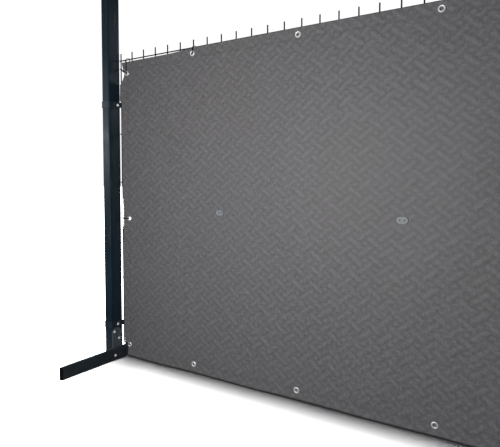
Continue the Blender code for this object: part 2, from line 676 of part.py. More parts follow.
def cable_ties():
    for side_name, side in (("left", -1), ("right", 1)):
        name = side_name + "_top_corner_ties"
        pair = side_tie(name, side, TOP_CORNER_XZ, TIE_RISE_TO_WIRE["top"])
        x, z = TOP_CORNER_XZ
        upright = top_tie(name + "_upright", side * x, z, TIE_THICKNESS / 3, helper=True)
        boolean(pair, "UNION", upright)
        side_tie(side_name + "_middle_tie", side, MIDDLE_XZ, TIE_RISE_TO_WIRE["middle"])
        side_tie(side_name + "_bottom_tie", side, BOTTOM_CORNER_XZ, TIE_RISE_TO_WIRE["bottom"])
    top_tie("top_row_tie", EYELET_ROW_X[0] + WIRE_RADIUS + GAP + TIE_WIDTH / 2, TOP_ROW_Z)


def parent_to_bodies():
    """Puts the standing pieces under one empty and the sliding ones under another, whose Z is the slide's axis."""
    stands = bpy.data.objects.new("stands", None)
    panel_slide = bpy.data.objects.new("panel_slide", None)
    for piece in list(PARTS.objects):
        slides = any(word in piece.name for word in SLIDING_WORDS)
        piece.parent = panel_slide if slides else stands
    PARTS.objects.link(stands)
    PARTS.objects.link(panel_slide)


def build():
    for side_name, side in (("left", -1), ("right", 1)):
        post(side_name, side)
        post_cap(side_name, side)
        foot(side_name, side)
        bracket(side_name, side)
        bracket_seat = POST_INNER_X - GAP - BRACKET_THICKNESS
        for number, (y, z) in enumerate(BRACKET_BOLTS_YZ, 1):
            bolt(f"{side_name}_bracket_bolt_{number}", side, bracket_seat, y, z, BRACKET_BOLT_LENGTH)
        for end_name, end in (("front", -1), ("rear", 1)):
            foot_cap(side_name, side, end_name, end)
            name = f"{side_name}_foot_{end_name}_bolt"
            bolt(name, side, FOOT_INNER_X, end * FOOT_BOLT_Y, FOOT_BOLT_Z, FOOT_BOLT_LENGTH)
        for level, centre_z in CLAMP_HEIGHTS.items():
            clamp(side_name, side, level, centre_z)
    wire_panel()
    curtain()
    for name, (x, z) in eyelet_places().items():
        eyelet(name, x, z)
    for number, x in enumerate(PLATE_X, 1):
        oval_plate(f"oval_plate_{number}", x)
    cable_ties()
    parent_to_bodies()


build()
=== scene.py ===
import json
import math

import bmesh
import bpy
import numpy as np
from mathutils import Matrix, Vector

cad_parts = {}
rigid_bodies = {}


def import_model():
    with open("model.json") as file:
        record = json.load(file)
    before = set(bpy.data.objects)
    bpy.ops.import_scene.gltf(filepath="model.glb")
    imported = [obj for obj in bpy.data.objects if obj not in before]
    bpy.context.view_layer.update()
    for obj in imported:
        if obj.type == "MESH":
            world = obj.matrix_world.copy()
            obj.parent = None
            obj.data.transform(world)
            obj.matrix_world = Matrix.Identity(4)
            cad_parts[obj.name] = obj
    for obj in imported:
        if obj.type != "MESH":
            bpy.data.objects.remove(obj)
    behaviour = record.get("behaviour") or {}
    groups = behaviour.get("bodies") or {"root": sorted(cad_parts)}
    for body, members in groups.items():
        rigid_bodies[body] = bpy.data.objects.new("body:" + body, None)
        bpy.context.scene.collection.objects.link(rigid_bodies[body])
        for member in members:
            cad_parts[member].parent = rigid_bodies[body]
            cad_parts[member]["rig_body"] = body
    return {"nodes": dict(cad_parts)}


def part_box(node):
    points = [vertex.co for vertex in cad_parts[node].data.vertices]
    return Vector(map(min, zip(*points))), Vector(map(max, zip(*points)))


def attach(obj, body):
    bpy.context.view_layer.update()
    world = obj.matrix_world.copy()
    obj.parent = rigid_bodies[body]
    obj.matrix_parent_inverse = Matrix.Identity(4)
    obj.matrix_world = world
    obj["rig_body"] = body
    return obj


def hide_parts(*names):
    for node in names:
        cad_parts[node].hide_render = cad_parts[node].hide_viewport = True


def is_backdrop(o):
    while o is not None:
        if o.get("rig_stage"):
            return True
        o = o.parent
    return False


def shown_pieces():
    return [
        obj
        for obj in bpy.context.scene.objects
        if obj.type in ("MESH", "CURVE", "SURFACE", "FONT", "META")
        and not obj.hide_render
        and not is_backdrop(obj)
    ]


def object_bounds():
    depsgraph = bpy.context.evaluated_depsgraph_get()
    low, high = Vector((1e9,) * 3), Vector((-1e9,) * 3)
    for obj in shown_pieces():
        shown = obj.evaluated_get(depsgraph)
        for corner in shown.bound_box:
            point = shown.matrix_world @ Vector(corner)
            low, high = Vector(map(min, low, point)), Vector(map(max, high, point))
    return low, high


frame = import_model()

cad_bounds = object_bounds()

MM = 0.001
NODES = frame["nodes"]
CURTAIN_LOW, CURTAIN_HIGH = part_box("curtain")
PLATE_LOW, PLATE_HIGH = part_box("oval_plate_1")

# The camera, from the perspective of the screen's edges and wires.
CAMERA_PLACE = (0.345, -1.433, 0.726)
CAMERA_TILT_DOWN = math.radians(2.62)
CAMERA_TURN_LEFT = math.radians(33.17)
CAMERA_LENS = 36.32
CAMERA_SHIFT = -0.0368

# The quilting: bars lean left and right in turn and stop at each other, with square pads between them.
PATTERN_WIDTH = 65.0 * MM
PATTERN_HEIGHT = 51.2 * MM
BAR_SPACING = 0.5
BAR_HALF_LENGTH = 0.75
RELIEF = 1.35 * MM
LINING_RELIEF = 0.8 * MM
FACE_LINES = (0.0, 0.125, 0.25, 0.375)
LINING_LINES = (0.13, 0.25, 0.37)
CLOTH_THICKNESS = 3.2 * MM
GROOVE_Y = CURTAIN_LOW.y + 0.8 * MM
EDGE_ROUNDING = 0.8 * MM
HEM_DROP = 1.3 * MM

# The hem runs round the cloth, and two rows of stitches hold it.
SEAM_INSETS = (33 * MM, 38 * MM)
SEAM_WIDTH = 5 * MM
STITCH_LENGTH = 4.4 * MM
STITCH_PITCH = 6.6 * MM
STITCH_RADIUS = 0.45 * MM
STITCH_SECTIONS = 5
STITCH_SIDES = 5
STITCH_BOW = 0.35 * MM
STITCH_SINK = 0.25 * MM
STITCH_CLEARANCE = 12.5 * MM
NOTCH_WIDTH = 18.5 * MM
NOTCH_TOP = 48 * MM
NOTCH_SURROUND = 20 * MM

# The cloth's slack: it billows towards the front between the places where it is held.
BILLOW_DEPTH = 7 * MM
HOLD_REACH = 110 * MM

# The shape of the cloth's edges, and how far in from an edge that shape is felt.
EDGE_REACH = 70 * MM
CORNER_DROOP = 9 * MM
CORNER_DROOP_LENGTH = 0.13
CORNER_DROOP_START = 40 * MM
WAIST_DEPTH = 13 * MM
WAIST_REACH = 28 * MM
BULGE_DEPTH = 12.2 * MM
SIDE_SLACK = 1.1 * MM
SCALLOP_DEPTH = 1.3 * MM
SCALLOP_LENGTH = 0.44

# Painted shadow: the cloth's lower edge is darkened nearly to black where it meets the floor, fully below the
# first height and fading out by the second.
EDGE_SHADOW_FULL_HEIGHT = 3 * MM
EDGE_SHADOW_END_HEIGHT = 9 * MM

EYELET_HOLE = 5.6 * MM
FLANGE_SHARE = 0.9
CLOTH_HOLE = 8.2 * MM
HOLE_SEARCH = 12 * MM
PRESSED_RADIUS = 13 * MM
EYELET_STEPS = 48
BOLT_STEPS = 36
BOLT_HEAD_HEIGHT = 3.6 * MM
BOLT_HEAD_RADIUS = 5.5 * MM
BOLT_RADIUS = 2.9 * MM
SOCKET_APOTHEM = 1.75 * MM

# Edges on CAD nodes that stay are rounded by this much, small pieces less than pressed steel.
SMALL_EDGE = 0.3 * MM
STEEL_EDGE = 0.4 * MM
SOFTEN_ABOVE = math.radians(40)

EYELET_NAMES = sorted(name for name in NODES if name.endswith("eyelet") or "_eyelet_" in name)
BOLT_NAMES = sorted(name for name in NODES if "bolt" in name)
PLATE_NAMES = sorted(name for name in NODES if name.startswith("oval_plate"))


def middle(name):
    low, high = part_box(name)
    return (low + high) / 2


EYELETS = [middle(name) for name in EYELET_NAMES]
TIED_EYELETS = [
    middle(name) for name in EYELET_NAMES if name.startswith(("left", "right")) or name == "top_eyelet_1"
]
PLATES = [middle(name) for name in PLATE_NAMES]


# ---------------------------------------------------------------- camera, floor and light

def add_camera():
    data = bpy.data.cameras.new("camera")
    data.sensor_width = 36.0
    data.lens = CAMERA_LENS
    data.shift_y = CAMERA_SHIFT
    data.dof.use_dof = False
    camera = bpy.data.objects.new("camera", data)
    camera.location = CAMERA_PLACE
    camera.rotation_euler = (math.pi / 2 - CAMERA_TILT_DOWN, 0.0, CAMERA_TURN_LEFT)
    bpy.context.scene.collection.objects.link(camera)
    bpy.context.scene.camera = camera


def receivers(name, objects):
    """A collection for light linking, holding what a light reaches."""
    collection = bpy.data.collections.new(name)
    for obj in objects:
        collection.objects.link(obj)
    return collection


def add_area_light(name, place, target, size, power, colour, reached):
    data = bpy.data.lights.new(name, "AREA")
    data.shape = "RECTANGLE"
    data.size, data.size_y = size
    data.energy = power
    data.color = colour
    light = bpy.data.objects.new(name, data)
    light.location = place
    light.rotation_euler = (Vector(target) - Vector(place)).to_track_quat("-Z", "Y").to_euler()
    light.visible_camera = False
    light.light_linking.receiver_collection = reached
    bpy.context.scene.collection.objects.link(light)


def add_floor_sun(reached):
    """A broad lamp high behind the screen, which lays the screen's soft shadow towards the viewer."""
    data = bpy.data.lights.new("floor_sun", "SUN")
    data.energy = 21.5
    data.angle = math.radians(21)
    light = bpy.data.objects.new("floor_sun", data)
    light.rotation_euler = (math.radians(-10.1), 0.0, 0.0)
    light.light_linking.receiver_collection = reached
    bpy.context.scene.collection.objects.link(light)


def add_world():
    """White to the camera, a dim room for everything else."""
    world = bpy.data.worlds.new("studio")
    world.use_nodes = True
    tree = world.node_tree
    tree.nodes.clear()
    out = tree.nodes.new("ShaderNodeOutputWorld")
    mix = tree.nodes.new("ShaderNodeMixShader")
    seen = tree.nodes.new("ShaderNodeBackground")
    room = tree.nodes.new("ShaderNodeBackground")
    path = tree.nodes.new("ShaderNodeLightPath")
    seen.inputs["Color"].default_value = (1.0, 1.0, 1.0, 1.0)
    seen.inputs["Strength"].default_value = 1.05
    room.inputs["Color"].default_value = (0.94, 0.97, 1.0, 1.0)
    room.inputs["Strength"].default_value = 0.10
    tree.links.new(path.outputs["Is Camera Ray"], mix.inputs["Fac"])
    tree.links.new(room.outputs[0], mix.inputs[1])
    tree.links.new(seen.outputs[0], mix.inputs[2])
    tree.links.new(mix.outputs[0], out.inputs["Surface"])
    bpy.context.scene.world = world


def add_floor():
    mesh = bpy.data.meshes.new("floor")
    shape = bmesh.new()
    bmesh.ops.create_grid(shape, x_segments=8, y_segments=8, size=60.0)
    shape.to_mesh(mesh)
    shape.free()
    floor = bpy.data.objects.new("floor", mesh)
    floor.location.z = cad_bounds[0][2] - 0.2 * MM
    floor.visible_diffuse = False
    floor.visible_glossy = False
    floor.visible_shadow = False
    bpy.context.scene.collection.objects.link(floor)
    material = bpy.data.materials.new("floor_white")
    material.use_nodes = True
    shader = material.node_tree.nodes["Principled BSDF"]
    shader.inputs["Base Color"].default_value = (0.86, 0.86, 0.86, 1.0)
    shader.inputs["Roughness"].default_value = 0.9
    shader.inputs["Specular IOR Level"].default_value = 0.1
    mesh.materials.append(material)
    floor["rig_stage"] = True
    return floor


# ---------------------------------------------------------------- materials

class Graph:
    """A material's nodes, with short calls for the ones used here."""

    def __init__(self, name, roughness=0.5, metallic=0.0):
        self.material = bpy.data.materials.new(name)
        self.material.use_nodes = True
        self.tree = self.material.node_tree
        self.shader = self.tree.nodes["Principled BSDF"]
        self.shader.inputs["Roughness"].default_value = roughness
        self.shader.inputs["Metallic"].default_value = metallic
        self.place = self.tree.nodes.new("ShaderNodeTexCoord").outputs["Object"]

    def set(self, socket, value):
        if hasattr(value, "is_output"):
            self.tree.links.new(value, self.shader.inputs[socket])
        else:
            self.shader.inputs[socket].default_value = value

    def add(self, kind, inputs=(), **settings):
        node = self.tree.nodes.new(kind)
        for key, value in settings.items():
            setattr(node, key, value)
        for key, value in dict(inputs).items():
            if hasattr(value, "is_output"):
                self.tree.links.new(value, node.inputs[key])
            else:
                node.inputs[key].default_value = value
        return node

    def noise(self, scale, detail=3.0, roughness=0.55, place=None):
        inputs = {"Vector": place or self.place, "Scale": scale, "Detail": detail, "Roughness": roughness}
        return self.add("ShaderNodeTexNoise", inputs).outputs["Fac"]

    def stretched(self, scale):
        """Coordinates scaled differently along each axis."""
        inputs = {"Vector": self.place, "Scale": scale}
        return self.add("ShaderNodeMapping", inputs).outputs["Vector"]

    def between(self, value, low, high, to_low=0.0, to_high=1.0):
        inputs = {"Value": value, "From Min": low, "From Max": high, "To Min": to_low, "To Max": to_high}
        return self.add("ShaderNodeMapRange", inputs, interpolation_type="SMOOTHSTEP").outputs["Result"]

    def maths(self, operation, a, b):
        return self.add("ShaderNodeMath", {0: a, 1: b}, operation=operation).outputs["Value"]

    def mix(self, share, a, b):
        node = self.add("ShaderNodeMix", data_type="RGBA")
        for index, value in ((0, share), (6, a), (7, b)):
            if hasattr(value, "is_output"):
                self.tree.links.new(value, node.inputs[index])
            elif index:
                node.inputs[index].default_value = (*value, 1.0)
            else:
                node.inputs[index].default_value = value
        return node.outputs[2]

    def bump(self, height, distance, strength=1.0, normal=None):
        inputs = {"Height": height, "Distance": distance, "Strength": strength}
        if normal:
            inputs["Normal"] = normal
        return self.add("ShaderNodeBump", inputs).outputs["Normal"]

    def attribute(self, name):
        return self.add("ShaderNodeAttribute", attribute_name=name).outputs["Fac"]

    def height(self):
        return self.add("ShaderNodeSeparateXYZ", {"Vector": self.place}).outputs["Z"]


def powder_coat(name, colour, worn, roughness):
    """Powder-coated steel: orange peel, cloudy gloss, fine scratches, chips and dust near the floor."""
    graph = Graph(name)
    clouds = graph.noise(7.0, 4.0)
    peel = graph.noise(620.0, 2.0)
    scratches = graph.noise(1.0, 2.0, 0.5, graph.stretched((260.0, 260.0, 9.0)))
    chips = graph.noise(95.0, 5.0, 0.7)
    shade = graph.mix(graph.between(clouds, 0.3, 0.7), [0.86 * c for c in colour], [1.14 * c for c in colour])
    scuffed = graph.mix(graph.between(scratches, 0.63, 0.7, 0.0, 0.35), shade, worn)
    chipped = graph.mix(graph.between(chips, 0.705, 0.735, 0.0, 0.8), scuffed, worn)
    dust = graph.maths("MULTIPLY", graph.between(graph.height(), 0.16, 0.0, 0.0, 0.3), graph.noise(38.0, 5.0))
    graph.set("Base Color", graph.mix(dust, chipped, (0.16, 0.155, 0.15)))
    gloss = graph.maths("ADD", graph.between(clouds, 0.25, 0.75, roughness - 0.05, roughness + 0.08), dust)
    graph.set("Roughness", graph.maths("ADD", gloss, graph.between(scratches, 0.6, 0.7, 0.0, 0.12)))
    coarse = graph.bump(peel, 0.00006, 0.8)
    graph.set("Normal", graph.bump(chips, 0.00015, 0.15, coarse))
    graph.set("Specular IOR Level", 0.24)
    return graph.material


def moulded_plastic(name, colour, roughness, grain=900.0, specular=0.4):
    """Moulded plastic: fine spark texture and a slightly bloomed surface."""
    graph = Graph(name)
    bloom = graph.noise(24.0, 4.0)
    fine = graph.noise(grain, 2.0)
    graph.set("Base Color", graph.mix(graph.between(bloom, 0.35, 0.7), colour, [1.5 * c for c in colour]))
    graph.set("Specular IOR Level", specular)
    graph.set("Roughness", graph.between(bloom, 0.3, 0.7, roughness - 0.06, roughness + 0.1))
    graph.set("Normal", graph.bump(fine, 0.00008, 0.7))
    return graph.material


def plated_metal(name, colour, dull, roughness, metallic):
    """Plated metal: soft patches of tarnish and fine turning marks."""
    graph = Graph(name, metallic=metallic)
    patches = graph.noise(130.0, 5.0, 0.6)
    marks = graph.noise(1.0, 2.0, 0.5, graph.stretched((1400.0, 1400.0, 500.0)))
    graph.set("Base Color", graph.mix(graph.between(patches, 0.42, 0.72), colour, dull))
    graph.set("Roughness", graph.between(patches, 0.3, 0.75, roughness, roughness + 0.22))
    graph.set("Normal", graph.bump(marks, 0.00004, 0.5))
    return graph.material


def wire_coat(name, colour):
    """Coated wire: thick coating with drips, rubbed spots and a little bare zinc."""
    graph = Graph(name)
    patches = graph.noise(46.0, 5.0, 0.65)
    rubbed = graph.between(graph.noise(160.0, 4.0, 0.6), 0.66, 0.74, 0.0, 0.25)
    coat = graph.mix(graph.between(patches, 0.3, 0.7), colour, [1.5 * c for c in colour])
    graph.set("Base Color", graph.mix(rubbed, coat, (0.3, 0.31, 0.31)))
    graph.set("Roughness", graph.between(patches, 0.3, 0.7, 0.5, 0.7))
    graph.set("Specular IOR Level", 0.2)
    graph.set("Normal", graph.bump(graph.noise(300.0, 3.0), 0.0002, 0.6))
    return graph.material


def quilted_fabric(name, cool, warm, groove):
    """Coated cloth: a fine weave, cloudy colour, creases, painted shade in the grooves and a painted shadow
    along the lower edge.
    """
    graph = Graph(name)
    across = graph.add(
        "ShaderNodeTexWave", {"Vector": graph.place, "Scale": 130.0, "Distortion": 0.6}, bands_direction="X"
    )
    along = graph.add(
        "ShaderNodeTexWave", {"Vector": graph.place, "Scale": 130.0, "Distortion": 0.6}, bands_direction="Z"
    )
    weave = graph.maths("MAXIMUM", across.outputs["Fac"], along.outputs["Fac"])
    drift = graph.noise(1.3, 3.0)
    mottle = graph.noise(140.0, 4.0, 0.65)
    creases = graph.noise(34.0, 4.0, 0.6)
    raised = graph.attribute("raised")
    base = graph.mix(graph.between(drift, 0.38, 0.62), cool, warm)
    dark = graph.mix(0.87, (0.0, 0.0, 0.0), base)
    flecked = graph.mix(graph.between(mottle, 0.36, 0.64), dark, [1.21 * c for c in base_of(cool, warm)])
    # Painted shade: the grooves between bars and pads are darkened towards the groove colour, in patches where
    # the crease noise is high.
    groove_shade_share = graph.maths("MULTIPLY", graph.between(raised, 0.75, 0.05, 0.0, 0.5), creases)
    groove_shaded = graph.mix(groove_shade_share, flecked, groove)
    # Painted shadow along the cloth's lower edge, where it meets the floor.
    edge_shadow = graph.between(graph.height(), EDGE_SHADOW_END_HEIGHT, EDGE_SHADOW_FULL_HEIGHT, 0.0, 0.92)
    graph.set("Base Color", graph.mix(edge_shadow, groove_shaded, (0.008, 0.008, 0.009)))
    graph.set("Roughness", graph.between(mottle, 0.3, 0.7, 0.52, 0.66))
    graph.set("Sheen Weight", 0.12)
    graph.set("Sheen Roughness", 0.5)
    graph.set("Specular IOR Level", 0.35)
    fine = graph.bump(weave, 0.0002, 0.35)
    pitted = graph.bump(mottle, 0.0009, 0.5, fine)
    graph.set("Normal", graph.bump(creases, 0.003, 0.3, pitted))
    return graph.material


def base_of(cool, warm):
    return [(a + b) / 2 for a, b in zip(cool, warm)]


def thread(name, colour):
    """Twisted polyester thread."""
    graph = Graph(name, 0.7)
    ply = graph.add("ShaderNodeTexWave", {"Vector": graph.place, "Scale": 420.0}, bands_direction="DIAGONAL")
    graph.set("Base Color", graph.mix(ply.outputs["Fac"], [0.6 * c for c in colour], colour))
    graph.set("Normal", graph.bump(ply.outputs["Fac"], 0.0002, 0.8))
    return graph.material


def make_materials():
    return {
        "post_paint": powder_coat("post_powder_coat", (0.006, 0.018, 0.029), (0.07, 0.08, 0.09), 0.36),
        "bracket_paint": powder_coat("bracket_powder_coat", (0.078, 0.098, 0.122), (0.24, 0.24, 0.24), 0.34),
        "clamp_paint": powder_coat("clamp_powder_coat", (0.018, 0.029, 0.042), (0.2, 0.2, 0.2), 0.34),
        "black_plastic": moulded_plastic("cap_plastic", (0.002, 0.002, 0.003), 0.62, specular=0.12),
        "bolt_steel": plated_metal("zinc_plate", (0.96, 0.97, 0.98), (0.7, 0.7, 0.7), 0.33, 0.15),
        "wire_coating": wire_coat("wire_coat", (0.009, 0.010, 0.012)),
        "eyelet_metal": plated_metal("nickel_plate", (0.96, 0.96, 0.96), (0.76, 0.76, 0.75), 0.4, 0.6),
        "tie_plastic": moulded_plastic("tie_nylon", (0.006, 0.007, 0.008), 0.42, 1400.0),
        "plate_plastic": moulded_plastic("plate_plastic_grey", (0.175, 0.19, 0.206), 0.45, 1100.0),
        # The cloth's last colour is the painted shade laid into the grooves.
        "curtain_fabric": quilted_fabric(
            "quilted_cloth", (0.141, 0.136, 0.150), (0.146, 0.140, 0.141), (0.05, 0.05, 0.053)
        ),
        "hem_thread": thread("hem_thread", (0.09, 0.09, 0.095)),
    }


# ---------------------------------------------------------------- cloth

def smooth(value, low=0.0, high=1.0):
    t = np.clip((value - low) / (high - low), 0.0, 1.0)
    return t * t * (3 - 2 * t)


def bar_coordinates(x, z):
    """The place in the quilting, measured along its two leaning directions."""
    s = x / PATTERN_WIDTH
    t = (z - CURTAIN_LOW.z) / PATTERN_HEIGHT
    return s + t, s - t


def quilting(x, z):
    """How far the padding stands out, from 0 in a groove to 1 on the crest of a bar or pad."""
    a, b = bar_coordinates(x, z)
    column = np.round(a / BAR_SPACING).astype(int)
    row = np.round(b / BAR_SPACING).astype(int)
    half = BAR_SPACING / 2
    across_a = (a - column * BAR_SPACING) / half
    across_b = (b - row * BAR_SPACING) / half
    both_even = (column % 2 == 0) & (row % 2 == 0)
    rising = (both_even & ((column + row) // 2 % 2 == 0)) | ((column % 2 == 1) & (row % 2 == 0))
    pad = (column % 2 == 1) & (row % 2 == 1)
    rising_centre = nearest_centre(a, row // 2)
    falling_centre = nearest_centre(b, column // 2 + 1)
    rising_end = (BAR_HALF_LENGTH - np.abs(a - rising_centre)) / half
    falling_end = (BAR_HALF_LENGTH - np.abs(b - falling_centre)) / half
    rising_height = rounded(across_b) * ended(rising_end)
    falling_height = rounded(across_a) * ended(falling_end)
    bars = np.where(rising, rising_height, falling_height)
    return np.where(pad, rounded(across_a) * rounded(across_b), bars)


def nearest_centre(value, parity):
    """The nearest whole number that is even or odd as parity is."""
    odd = np.asarray(parity) % 2
    return np.round((value - odd) / 2) * 2 + odd


def rounded(across):
    """A soft ridge, 1 on its crest and 0 in the grooves beside it."""
    return 0.5 + 0.5 * np.cos(np.pi * np.clip(across, -1.0, 1.0))


def ended(distance):
    """The ridge's fall to nothing at the end of a bar."""
    return 0.5 - 0.5 * np.cos(np.pi * np.clip(distance, 0.0, 1.0))


def edge_distance(x, z):
    """How far a place is inside the cloth's edge."""
    sides = CURTAIN_HIGH.x - np.abs(x)
    ends = np.minimum(z - CURTAIN_LOW.z, CURTAIN_HIGH.z - z)
    return np.minimum(sides, ends)


def pressed_flat(x, z):
    """1 on free cloth, 0 under an eyelet, a plate or a seam, where the padding is squeezed."""
    free = np.ones_like(x)
    for eyelet in EYELETS:
        away = np.hypot(x - eyelet.x, z - eyelet.z)
        free = np.minimum(free, smooth(away, PRESSED_RADIUS, 1.7 * PRESSED_RADIUS))
    half = (PLATE_HIGH - PLATE_LOW) / 2
    for plate in PLATES:
        along = np.maximum(np.abs(x - plate.x) - (half.x - half.z), 0.0)
        away = np.hypot(along, z - plate.z)
        free = np.minimum(free, smooth(away, half.z + 1 * MM, half.z + 7 * MM))
    inside = edge_distance(x, z)
    seam = np.abs(inside - sum(SEAM_INSETS) / 2)
    free = np.minimum(free, 0.3 + 0.7 * smooth(seam, 0.0, 1.6 * SEAM_WIDTH))
    return np.minimum(free, 0.35 + 0.65 * smooth(inside, 0.0, 9 * MM))


def billow(x, z):
    """How far slack cloth hangs forward, none where an eyelet or plate holds it."""
    rolls = 0.5 + 0.26 * np.sin(5.3 * x + 1.1 * np.sin(2.3 * z + 0.4) + 0.8)
    rolls += 0.17 * np.sin(11.7 * x - 2.9 * z + 2.2)
    rolls += 0.15 * np.sin(3.1 * z + 2.6 * x + 4.0) + 0.09 * np.sin(19.0 * x + 6.0 * z)
    rolls += 0.06 * np.sin(31.0 * x - 12.0 * z + 1.3)
    held = np.ones_like(x)
    for place in EYELETS + PLATES:
        away = np.hypot(x - place.x, z - place.z) / HOLD_REACH
        held *= 1 - np.exp(-away * away)
    return BILLOW_DEPTH * np.clip(rolls, 0.0, 1.2) * held


def pull(x, z):
    """The shift of the cloth's edges from straight lines, largest at the edge: (in x, in z)."""
    side = np.sign(x)
    near_side = 1 - smooth(CURTAIN_HIGH.x - np.abs(x), 0.0, EDGE_REACH)
    near_top = 1 - smooth(CURTAIN_HIGH.z - z, 0.0, EDGE_REACH)
    near_bottom = 1 - smooth(z - CURTAIN_LOW.z, 0.0, EDGE_REACH)
    corner_z = middle("left_top_corner_eyelet").z
    waist = WAIST_DEPTH * np.exp(-(((z - corner_z - 2 * MM) / WAIST_REACH) ** 2))
    above_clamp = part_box("left_upper_clamp_jaw")[1].z
    bulge = BULGE_DEPTH * smooth(z, above_clamp - 6 * MM, above_clamp + 10 * MM)
    bulge = bulge * (1 - smooth(z, corner_z - 50 * MM, corner_z - 16 * MM))
    slack = SIDE_SLACK * np.sin(9.0 * z + 1.5 * side) * smooth(z, 0.12, 0.3) * (1 - smooth(z, 0.8, 0.95))
    shift_x = side * near_side * (bulge - waist - np.abs(slack))
    first = middle("top_eyelet_1").x
    droop_start, droop_end = abs(first) - CORNER_DROOP_START, abs(first) + CORNER_DROOP_LENGTH
    droop = CORNER_DROOP * smooth(np.abs(x), droop_start, droop_end)
    wave = (1 - np.cos(2 * np.pi * (x - first) / SCALLOP_LENGTH)) / 2
    scallop = SCALLOP_DEPTH * wave * (1 - smooth(np.abs(x), 0.85, 0.9))
    sag = HEM_DROP * (0.85 + 0.15 * np.sin(7.3 * x + 0.6))
    shift_z = -near_top * (droop + scallop) - near_bottom * sag
    return shift_x, shift_z


def cloth_point(x, z, outward):
    """Where a place on the flat cloth lies once it hangs, outward metres towards the viewer."""
    shift_x, shift_z = pull(x, z)
    return np.stack([x + shift_x, GROOVE_Y - billow(x, z) - outward, z + shift_z], axis=-1)


def leaning_grid(lines):
    """Corners and faces of a grid that follows the quilting's bars, a little larger than the cloth."""
    s_reach = CURTAIN_HIGH.x / PATTERN_WIDTH + 1
    t_reach = (CURTAIN_HIGH.z - CURTAIN_LOW.z) / PATTERN_HEIGHT + 1
    whole = np.arange(math.floor(2 * (-s_reach - t_reach)), math.ceil(2 * (s_reach + t_reach)) + 1)
    stops = (whole[:, None] * BAR_SPACING + np.array(lines)[None, :]).reshape(-1)
    a, b = np.meshgrid(stops, stops, indexing="ij")
    x = PATTERN_WIDTH * (a + b) / 2
    z = CURTAIN_LOW.z + PATTERN_HEIGHT * (a - b) / 2
    margin = PATTERN_WIDTH / 4
    inside = (np.abs(x) < CURTAIN_HIGH.x + margin)
    inside &= (z > CURTAIN_LOW.z - margin) & (z < CURTAIN_HIGH.z + margin)
    whole_cell = inside[:-1, :-1] & inside[1:, :-1] & inside[1:, 1:] & inside[:-1, 1:]
    count = len(stops)
    first = (np.arange(count - 1)[:, None] * count + np.arange(count - 1)[None, :])[whole_cell]
    faces = np.stack([first, first + 1, first + count + 1, first + count], axis=1)
    used, faces = np.unique(faces, return_inverse=True)
    points = np.stack([x.reshape(-1)[used], np.zeros(len(used)), z.reshape(-1)[used]], axis=1)
    return points, faces.reshape(-1, 4)


def cut(shape, place, normal, remove, only=None):
    """Cuts the flat cloth along a plane, and removes what is beyond it if asked."""
    faces = shape.faces if only is None else [f for f in shape.faces if only(f.calc_center_median())]
    geometry = set(faces)
    for face in faces:
        geometry.update(face.edges)
        geometry.update(face.verts)
    bmesh.ops.bisect_plane(
        shape, geom=list(geometry), plane_co=place, plane_no=normal, clear_outer=remove, dist=1e-7
    )


def cut_cloth(lines, holes):
    """The flat cloth, cut to its outline, with its lower corners notched round the feet, and its holes."""
    points, faces = leaning_grid(lines)
    mesh = bpy.data.meshes.new("flat_cloth")
    mesh.from_pydata(points.tolist(), [], faces.tolist())
    shape = bmesh.new()
    shape.from_mesh(mesh)
    bpy.data.meshes.remove(mesh)
    cut(shape, (CURTAIN_LOW.x, 0, 0), (-1, 0, 0), True)
    cut(shape, (CURTAIN_HIGH.x, 0, 0), (1, 0, 0), True)
    cut(shape, (0, 0, CURTAIN_LOW.z), (0, 0, -1), True)
    cut(shape, (0, 0, CURTAIN_HIGH.z), (0, 0, 1), True)
    notch_x = CURTAIN_HIGH.x - NOTCH_WIDTH

    def near_notch(centre):
        return abs(centre.x) > notch_x - NOTCH_SURROUND and centre.z < NOTCH_TOP + NOTCH_SURROUND

    cut(shape, (notch_x, 0, 0), (1, 0, 0), False, near_notch)
    cut(shape, (-notch_x, 0, 0), (-1, 0, 0), False, near_notch)
    cut(shape, (0, 0, NOTCH_TOP), (0, 0, 1), False, near_notch)
    gone = []
    for face in shape.faces:
        centre = face.calc_center_median()
        if abs(centre.x) > notch_x and centre.z < NOTCH_TOP:
            gone.append(face)
    bmesh.ops.delete(shape, geom=gone, context="FACES")
    punch_holes(shape, holes)
    return shape


def punch_holes(shape, holes):
    """Opens the cloth under each eyelet by pushing the points there out to the hole's edge."""
    for eyelet in holes:
        close = [
            vert for vert in shape.verts
            if abs(vert.co.x - eyelet.x) < HOLE_SEARCH and abs(vert.co.z - eyelet.z) < HOLE_SEARCH
        ]
        moved = set()
        for vert in close:
            offset = Vector((vert.co.x - eyelet.x, 0.0, vert.co.z - eyelet.z))
            if offset.length < CLOTH_HOLE:
                direction = offset.normalized() if offset.length > 1e-6 else Vector((1, 0, 0))
                vert.co = Vector((eyelet.x, 0.0, eyelet.z)) + direction * CLOTH_HOLE
                moved.add(vert)
        faces = {face for vert in moved for face in vert.link_faces}
        inner = [face for face in faces if all(vert in moved for vert in face.verts)]
        bmesh.ops.delete(shape, geom=inner, context="FACES")


def outline_edges(shape):
    """The open edges along the cloth's outline, leaving out those of the eyelets' holes."""
    found = []
    for edge in shape.edges:
        if edge.is_boundary:
            centre = (edge.verts[0].co + edge.verts[1].co) / 2
            away = min(math.hypot(centre.x - e.x, centre.z - e.z) for e in EYELETS)
            if away > CLOTH_HOLE + 0.3 * MM:
                found.append(edge)
    return found


